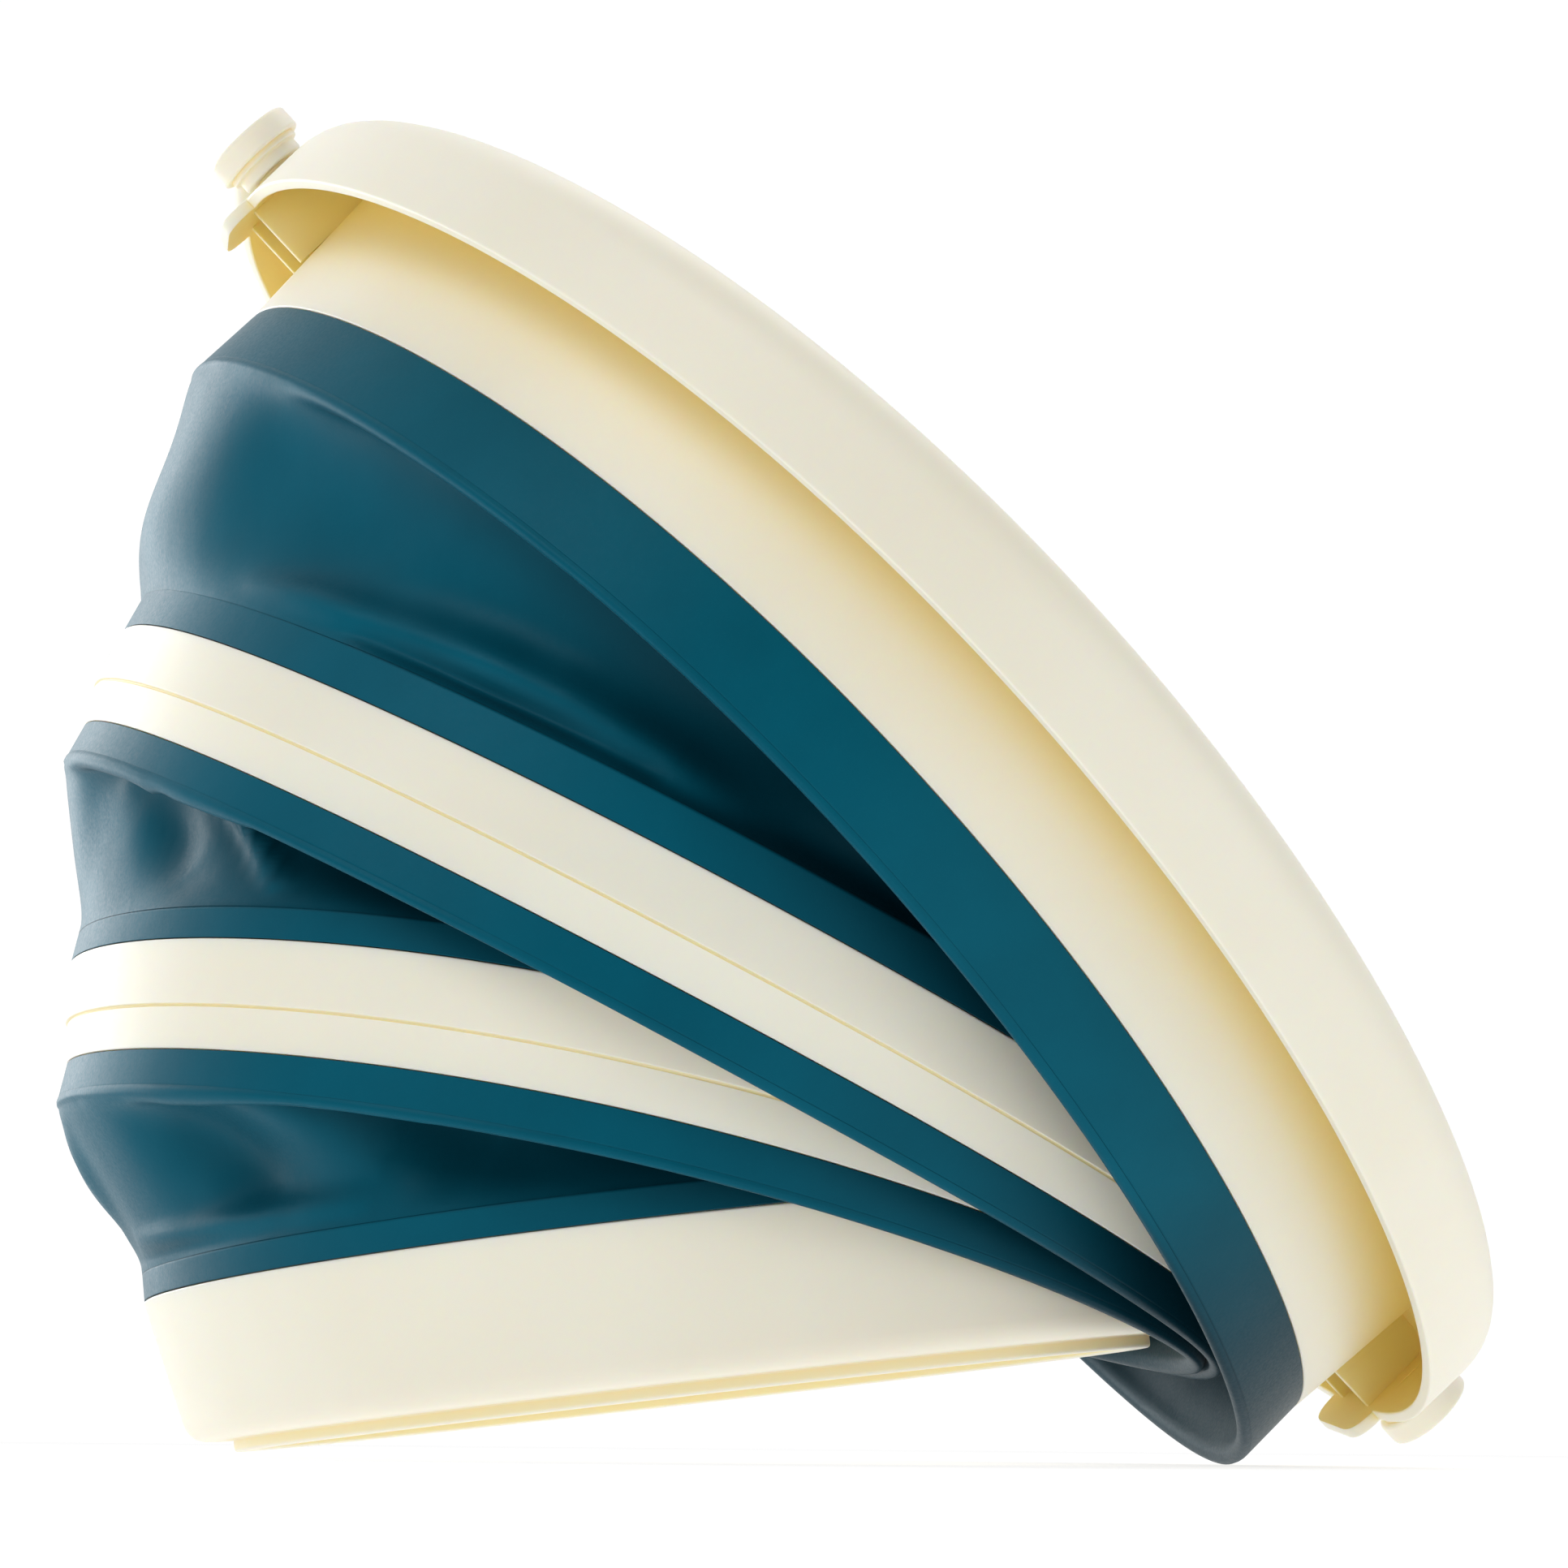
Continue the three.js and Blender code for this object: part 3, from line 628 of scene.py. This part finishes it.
def half_sheet(name, rows, normals):
    """A stretch of the sheet as a thin closed shell, shaded like the whole sheet so that no seam shows."""
    count, columns = rows.shape[:2]
    thick = normals * WEB_THICKNESS / 2
    shell = np.concatenate([rows + thick, (rows - thick)[:, ::-1]], 1)
    shading = np.concatenate([normals, -normals[:, ::-1]], 1)
    obj = new_object(name, to_row(shell.reshape(-1, 3)), grid_faces(count, 2 * columns, True, True))
    turned = [rotate_to_row(n).normalized() for n in shading.reshape(-1, 3)]
    obj.data.normals_split_custom_set_from_vertices(turned)
    return obj


def follow(obj, weights, lower_body, upper_body):
    """Bakes the sheet's placement into its mesh; the weights and the two bodies are not used."""
    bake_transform(obj)


def gaiter(name, size, lower, upper, bodies, material, dress):
    """Two thick collars bonded to their rings, and the thin sheet between them."""
    below, web, above = bodies
    inside = stands_on(**lower, collar_height=size["bottom"])
    outside = hangs_from(**upper, collar_height=size["top"])
    low = lower["height"] + GAP / 2
    bottom_ring = lower["ring"], inside["sheet_radius"]
    bottom = collar(f"{name}_bottom_band", *bottom_ring, low, low + size["bottom"], True)
    high = upper["height"] - GAP / 2
    top_ring = upper["ring"], outside["sheet_radius"]
    top = collar(f"{name}_top_band", *top_ring, high - size["top"], high, False)
    finish_piece(bottom, material, "teal_elastomer", below, f"{name}_bottom_collar")
    finish_piece(top, material, "teal_elastomer", above, f"{name}_top_collar")
    rows = dress(*sheet_rows(inside, outside, size))
    normals = sheet_normals(rows)
    half = SHEET_STEPS // 2
    share = np.linspace(0, 1, half + 1)
    ease = share * share * (3 - 2 * share)
    ease = np.concatenate([ease, ease[::-1]])
    for part, columns, weights, pair in (
        ("lower_half", slice(0, half + 1), ease, (below, web)),
        ("upper_half", slice(half, None), ease, (web, above)),
    ):
        obj = half_sheet(f"{name}_sheet_{part}", rows[:, columns], normals[:, columns])
        finish_piece(obj, material, "teal_elastomer", None, f"{name}_sheet")
        follow(obj, np.broadcast_to(weights, (len(rows), 2 * (half + 1))), *pair)


# ---- how each sheet is dressed: the bulge on its open side, and its creases -------------------------
def soft_waves(angles, share, seed, count=14):
    """Slow unevenness of a moulded sheet that has been folded many times."""
    random = np.random.default_rng(seed)
    total = np.zeros((len(angles), len(share)))
    for _ in range(count):
        turns, rises = random.integers(2, 13), random.uniform(0.3, 2.2)
        phase, tilt = random.uniform(0, 2 * math.pi, 2)
        wave = turns * angles[:, None] + 2 * math.pi * rises * share[None] + phase
        total += np.cos(wave) * math.cos(tilt)
    return total / math.sqrt(count)


def ridge(angles, share, start, end, width, height):
    """A raised or, below zero, a dented line between two (degrees, share) places on the sheet."""
    scale = np.array([MM_PER_DEGREE, SHEET_HEIGHT])
    a, b = np.array(start, float) * scale, np.array(end, float) * scale
    turn = (np.degrees(angles) % 360)[:, None] * scale[0] + 0 * share[None]
    place = np.stack([turn, share[None] * scale[1] + 0 * turn], -1)
    along = b - a
    t = np.clip(((place - a) @ along) / (along @ along), 0, 1)
    distance = np.linalg.norm(place - a - t[..., None] * along, axis=-1)
    fade = 0.35 + 0.65 * np.sin(np.clip(t, 0.02, 0.98) * math.pi)
    return CREASE_DEPTH * height * fade * np.exp(-0.5 * (distance / width) ** 2)


def dresser(seed, unevenness, bulge, hollow, creases):
    """A function that moves the sheet along its own normal. The bulge of the open side and the hollow of
    the two flanks are (height, share, spread)."""
    def dress(rows, angles):
        share = np.linspace(0, 1, rows.shape[1])
        envelope = np.sin(share * math.pi)[None] ** 0.8
        lift = unevenness * soft_waves(angles, share, seed)
        opened = smoothstep(-np.cos(angles), -0.1, 0.9)[:, None]
        height, centre, wide = bulge
        lift = lift + opened * height * np.exp(-0.5 * ((share[None] - centre) / wide) ** 2)
        depth, centre, wide = hollow
        sideways = smoothstep(np.abs(np.sin(angles)), 0.30, 0.85)
        flank = (sideways * smoothstep(-np.cos(angles), -0.30, 0.15))[:, None]
        lift = lift - flank * depth * np.exp(-0.5 * ((share[None] - centre) / wide) ** 2)
        for crease in creases:
            lift = lift + ridge(angles, share, *crease)
        return rows + sheet_normals(rows) * (lift * envelope)[..., None]
    return dress


CREASE_DEPTH = 2.6
# What a degree round a sheet, and its whole height, come to in millimetres.
MM_PER_DEGREE, SHEET_HEIGHT = 1.9, 40.0
# Creases: from (degrees round the ring, share up the sheet) to the same, the width in mm, and the height
# as a share of CREASE_DEPTH.
LOWER_CREASES = [
    ((222, 0.80), (240, 0.30), 5.0, 1.6),
    ((214, 0.65), (226, 0.25), 5.0, -1.3),
    ((238, 0.75), (252, 0.35), 6.0, -1.4),
    ((196, 0.20), (236, 0.16), 2.2, 1.0),
    ((205, 0.9), (250, 0.86), 2.0, 0.7),
    ((186, 0.3), (190, 0.8), 4.0, 0.8),
    ((150, 0.3), (160, 0.8), 6.0, 1.2),
    ((120, 0.7), (128, 0.3), 6.0, -1.2),
]
MIDDLE_CREASES = [
    ((219, 0.84), (231, 0.20), 1.8, 1.5),
    ((219, 0.85), (208, 0.66), 1.8, 0.7),
    ((211, 0.6), (218, 0.25), 4.5, -1.2),
    ((224, 0.86), (246, 0.62), 2.4, 1.1),
    ((230, 0.55), (246, 0.40), 5.0, -1.0),
    ((190, 0.90), (232, 0.88), 1.6, 0.8),
    ((150, 0.75), (140, 0.30), 4.0, 1.3),
    ((120, 0.6), (112, 0.3), 5.0, -1.2),
]
UPPER_CREASES = [
    ((205, 0.90), (206, 0.30), 12.0, 0.5),
    ((230, 0.75), (234, 0.35), 14.0, -0.5),
    ((222, 0.15), (240, 0.20), 2.6, 1.5),
    ((240, 0.20), (254, 0.21), 2.8, 1.6),
    ((254, 0.21), (272, 0.12), 2.6, 1.6),
    ((236, 0.09), (262, 0.10), 2.2, -2.4),
    ((262, 0.10), (300, 0.10), 3.4, -2.6),
    ((262, 0.32), (300, 0.30), 6.0, -0.9),
    ((206, 0.93), (250, 0.90), 1.8, 0.5),
    ((150, 0.7), (140, 0.25), 6.0, 1.0),
    ((118, 0.6), (108, 0.3), 7.0, -1.0),
]


# The pale wall behind the object, and the dimmer room in front of it.
BACKDROP, FRONT_AMBIENT = 1.02, 0.2
FLOOR_GLOW = 0.76
FLOOR_DARK, FLOOR_PALE = (0.34, 0.34, 0.34), (0.36, 0.36, 0.36)
# Just under the bucket's foot, in metres.
FLOOR_LEVEL = -0.0003
# The middle of the view, in millimetres in the base frame.
VIEW_CENTRE = (29.481, 0, 113.429)
VIEW_DISTANCE = 697.5
VIEW_ANGLES = (-3.86, -9.90, -6.58)
SENSOR, FOCAL_LENGTH = 36, 83.851


# ---- surroundings -----------------------------------------------------------------------------------
def floor():
    size, rows = 6.0, 24
    line = np.linspace(-size, size, rows)
    x, y = np.meshgrid(line, line, indexing="ij")
    points = np.stack([x, y, np.full_like(x, FLOOR_LEVEL)], -1).reshape(-1, 3)
    obj = new_object("studio_floor", points, grid_faces(rows, rows, False, False))
    material, nodes, links, shader = principled("pale_floor")
    place = nodes.new("ShaderNodeTexCoord").outputs["Object"]
    tone = spread(nodes, links, noise(nodes, links, place, 3), 0, 1)
    links.new(mix_colour(nodes, links, tone, FLOOR_DARK, FLOOR_PALE), shader.inputs["Base Color"])
    shader.inputs["Roughness"].default_value = 1.0
    shader.inputs["Specular IOR Level"].default_value = 0.0
    shader.inputs["Emission Color"].default_value = (1, 1, 1, 1)
    shader.inputs["Emission Strength"].default_value = FLOOR_GLOW
    obj.data.materials.append(material)


def area_light(name, place, target, size, power, colour=(1, 1, 1)):
    data = bpy.data.lights.new(name, "AREA")
    data.shape = "RECTANGLE"
    data.size, data.size_y = size
    data.energy = power
    data.color = colour
    obj = bpy.data.objects.new(name, data)
    obj.location = place
    obj.rotation_mode = "QUATERNION"
    obj.rotation_quaternion = (Vector(target) - Vector(place)).to_track_quat("-Z", "Y")
    bpy.context.scene.collection.objects.link(obj)


def studio():
    floor()
    world = bpy.data.worlds.new("white_studio")
    world.use_nodes = True
    nodes, links = world.node_tree.nodes, world.node_tree.links
    direction = nodes.new("ShaderNodeTexCoord").outputs["Generated"]
    split = nodes.new("ShaderNodeSeparateXYZ")
    links.new(direction, split.inputs["Vector"])
    backdrop = spread(nodes, links, split.outputs["Y"], FRONT_AMBIENT, BACKDROP, -0.35, 0.35)
    links.new(backdrop, nodes["Background"].inputs["Strength"])
    nodes["Background"].inputs["Color"].default_value = (1, 1, 1, 1)
    bpy.context.scene.world = world
    area_light("key", (-1.1, -1.3, 1.3), (0, 0, 0.1), (1.2, 0.9), 10.5)
    area_light("fill", (1.4, -1.5, 0.5), (0, 0, 0.1), (0.8, 0.8), 3.5)
    area_light("left_edge", (-1.2, 1.15, 0.45), (0, 0, 0.12), (1.0, 1.2), 13)
    area_light("top", (0.2, 0.2, 1.5), (0, 0, 0.1), (1.2, 1.2), 5)
    bpy.context.scene.view_settings.view_transform = "Standard"
    bpy.context.scene.view_settings.look = "None"
    bpy.context.scene.view_settings.exposure = 0


def camera():
    """Looks slightly up at the bucket's middle from in front, with the camera rolled."""
    azimuth, elevation, roll = (math.radians(a) for a in VIEW_ANGLES)
    back = np.array([math.sin(azimuth) * math.cos(elevation), -math.cos(azimuth) * math.cos(elevation),
                     math.sin(elevation)])
    right = np.array([math.cos(azimuth), math.sin(azimuth), 0])
    up = np.cross(right, -back)
    rolled = right * math.cos(roll) + up * math.sin(roll)
    upright = -right * math.sin(roll) + up * math.cos(roll)
    data = bpy.data.cameras.new("view_camera")
    data.sensor_width = SENSOR
    data.sensor_fit = "HORIZONTAL"
    data.lens = FOCAL_LENGTH
    data.clip_start, data.clip_end = 0.01, 50
    obj = bpy.data.objects.new("view_camera", data)
    axes = [rotate_to_row(v) for v in (rolled, upright, back)]
    place = to_row(np.array(VIEW_CENTRE) + back * VIEW_DISTANCE)
    obj.matrix_world = Matrix.Translation(Vector(place)) @ Matrix(axes).transposed().to_4x4()
    bpy.context.scene.collection.objects.link(obj)
    bpy.context.scene.camera = obj


# ---- the whole scene --------------------------------------------------------------------------------
def top_of(ring, size):
    """The upper edge of a ring, and how far its wall goes the other way."""
    far = -size["height"] - PAST_EDGE
    return dict(ring=ring, height=0, radius=size["top"], far_height=far, far_radius=size["bottom"])


def foot_of(ring, size):
    """The lower edge of a ring, and how far its wall goes the other way."""
    height = -size["height"]
    return dict(ring=ring, height=height, radius=size["bottom"], far_height=PAST_EDGE, far_radius=size["top"])


def stiff_pieces():
    cream = cream_plastic()
    finish_piece(base_pan(), cream, "cream_plastic", "base", "base_pan")
    lower = middle_ring("lower_ring_shell", LOWER, LOWER_RING)
    finish_piece(lower, cream, "cream_plastic", "lower_band", "lower_ring")
    upper = middle_ring("upper_ring_shell", UPPER, UPPER_RING)
    finish_piece(upper, cream, "cream_plastic", "upper_band", "upper_ring")
    finish_piece(rim(), cream, "cream_plastic", "mouth", "rim")
    finish_piece(bail(), cream, "cream_plastic", "bail", "bail_handle")


def gaiters():
    teal = teal_elastomer()
    base_edge = dict(ring=BASE, height=BASE_HEIGHT, radius=BASE_TOP_RADIUS, far_height=5, far_radius=94)
    rim_edge = dict(ring=RIM, height=0, radius=RIM_BOTTOM_RADIUS, far_height=27, far_radius=RIM_TOP_RADIUS)
    lower_edges = base_edge, foot_of(LOWER, LOWER_RING)
    middle_edges = top_of(LOWER, LOWER_RING), foot_of(UPPER, UPPER_RING)
    upper_edges = top_of(UPPER, UPPER_RING), rim_edge
    lower_dress = dresser(3, 0.22, (0.6, 0.55, 0.3), (4.5, 0.34, 0.22), LOWER_CREASES)
    middle_dress = dresser(5, 0.22, (1.2, 0.45, 0.25), (4.5, 0.34, 0.22), MIDDLE_CREASES)
    upper_dress = dresser(8, 0.25, (5.6, 0.30, 0.24), (7.5, 0.30, 0.20), UPPER_CREASES)
    lower_bodies = "base", "lower_web", "lower_band"
    middle_bodies = "lower_band", "middle_web", "upper_band"
    upper_bodies = "upper_band", "upper_web", "mouth"
    gaiter("lower_gaiter", LOWER_GAITER, *lower_edges, lower_bodies, teal, lower_dress)
    gaiter("middle_gaiter", MIDDLE_GAITER, *middle_edges, middle_bodies, teal, middle_dress)
    gaiter("upper_gaiter", UPPER_GAITER, *upper_edges, upper_bodies, teal, upper_dress)


def build():
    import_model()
    stiff_pieces()
    gaiters()
    studio()
    camera()


build()
